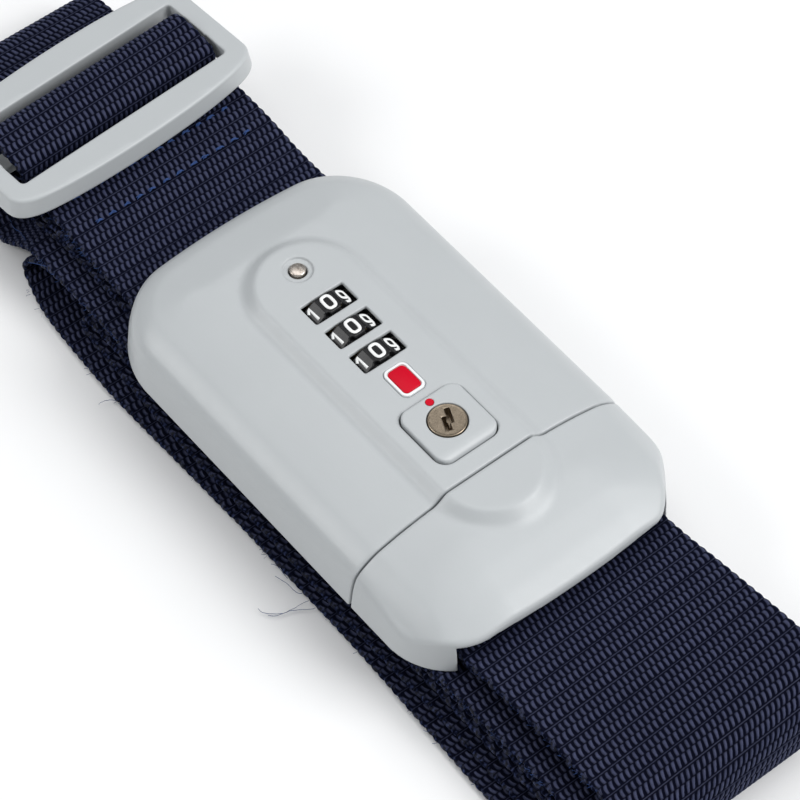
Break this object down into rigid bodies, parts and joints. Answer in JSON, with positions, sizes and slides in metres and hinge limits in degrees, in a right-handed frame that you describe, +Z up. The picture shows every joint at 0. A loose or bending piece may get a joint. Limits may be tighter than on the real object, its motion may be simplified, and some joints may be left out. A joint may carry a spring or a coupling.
{
  "type": "luggage strap",
  "caption": "Luggage strap: folded ribbed webbing with a combination lock buckle, key override, snap-in tongue half and a webbing adjuster.",
  "frame": {"origin": "on the floor under the key plug's centre", "axes": "+X along the strap from the lock towards the tongue half, +Z up out of the lock's face, +Y across the strap"},
  "size_m": [0.2326, 0.0675, 0.0288],
  "materials": {
    "shell": "satin, light cool grey",
    "webbing": "ribbed navy polyester webbing",
    "thread": "blue sewing thread",
    "dial": "black moulded, white digits",
    "brass": "plain brass",
    "plug_metal": "bronze nickel, turned face",
    "steel": "plain steel",
    "red": "red",
    "inner_plastic": "moulded inner part"
  },
  "bodies": {
    "lock": {"lock_top_cover": "shell", "lock_base": "shell", "cover_screws": "steel", "badge": "red", "dial_axle": "steel", "detent_spring": "steel", "reset_spring": "steel", "sleeve_return_spring": "steel", "button_springs": "steel", "catch_spring": "steel", "lock_strap_bar": "steel", "webbing_upper": "webbing", "webbing_bundle": "webbing", "stitch_adjuster": "thread"},
    "dial_1": {"dial_wheel_1": "dial"},
    "dial_2": {"dial_wheel_2": "dial"},
    "dial_3": {"dial_wheel_3": "dial"},
    "sleeve_1": {"code_sleeve_1": "brass"},
    "sleeve_2": {"code_sleeve_2": "brass"},
    "sleeve_3": {"code_sleeve_3": "brass"},
    "reset_pin": {"reset_pin": "plug_metal"},
    "carriage": {"reset_carriage": "inner_plastic"},
    "button": {"release_button": "shell", "open_mark": "red", "code_fence": "inner_plastic", "key_cylinder": "plug_metal"},
    "key": {"key_plug": "plug_metal", "key_wafers": "brass", "key_cam": "steel"},
    "tongue": {"tongue_top_cover": "shell", "tongue_base": "shell", "tongue_blade": "steel", "tongue_screws": "steel", "tongue_strap_bar": "steel", "webbing_tongue": "webbing", "stitch_tongue": "thread"},
    "adjuster": {"adjuster": "shell"}
  },
  "joints": [
    {"name": "dial_1_turn", "type": "hinge", "parent": "lock", "child": "dial_1", "pos_m": [-0.03575, 0, 0.0225], "axis": [1, 0, 0], "continuous": true},
    {"name": "sleeve_1_shift", "type": "slide", "parent": "dial_1", "child": "sleeve_1", "axis": [1, 0, 0], "range_m": [0, 0.0008]},
    {"name": "dial_2_turn", "type": "hinge", "parent": "lock", "child": "dial_2", "pos_m": [-0.02833, 0, 0.0225], "axis": [1, 0, 0], "continuous": true},
    {"name": "sleeve_2_shift", "type": "slide", "parent": "dial_2", "child": "sleeve_2", "axis": [1, 0, 0], "range_m": [0, 0.0008]},
    {"name": "dial_3_turn", "type": "hinge", "parent": "lock", "child": "dial_3", "pos_m": [-0.02091, 0, 0.0225], "axis": [1, 0, 0], "continuous": true},
    {"name": "sleeve_3_shift", "type": "slide", "parent": "dial_3", "child": "sleeve_3", "axis": [1, 0, 0], "range_m": [0, 0.0008]},
    {"name": "reset_press", "type": "slide", "parent": "lock", "child": "reset_pin", "axis": [0, 0, -1], "range_m": [0, 0.0012], "stiffness_N_per_m": 500, "springref_m": -0.0008, "deforming": ["reset_spring"]},
    {"name": "carriage_shift", "type": "slide", "parent": "lock", "child": "carriage", "axis": [1, 0, 0], "range_m": [0, 0.0008], "deforming": ["sleeve_return_spring"]},
    {"name": "release_press", "type": "slide", "parent": "lock", "child": "button", "axis": [0, 0, -1], "range_m": [0, 0.0015], "stiffness_N_per_m": 900, "springref_m": -0.001, "deforming": ["button_springs"]},
    {"name": "key_turn", "type": "hinge", "parent": "button", "child": "key", "pos_m": [0, 0, 0.028], "axis": [0, 0, 1], "range_deg": [0, 90]},
    {"name": "tongue_pull", "type": "slide", "parent": "lock", "child": "tongue", "axis": [1, 0, 0], "range_m": [0, 0.04], "deforming": ["catch_spring"]},
    {"name": "adjuster_tilt", "type": "hinge", "parent": "lock", "child": "adjuster", "pos_m": [-0.111, 0, 0.019], "axis": [0.0523, -0.9986, 0], "range_deg": [0, 8]}
  ],
  "couplings": [
    {"joint": "carriage_shift", "follows": "reset_press", "ratio": 0.66667},
    {"joint": "sleeve_1_shift", "follows": "reset_press", "ratio": 0.66667},
    {"joint": "sleeve_2_shift", "follows": "reset_press", "ratio": 0.66667},
    {"joint": "sleeve_3_shift", "follows": "reset_press", "ratio": 0.66667}
  ]
}
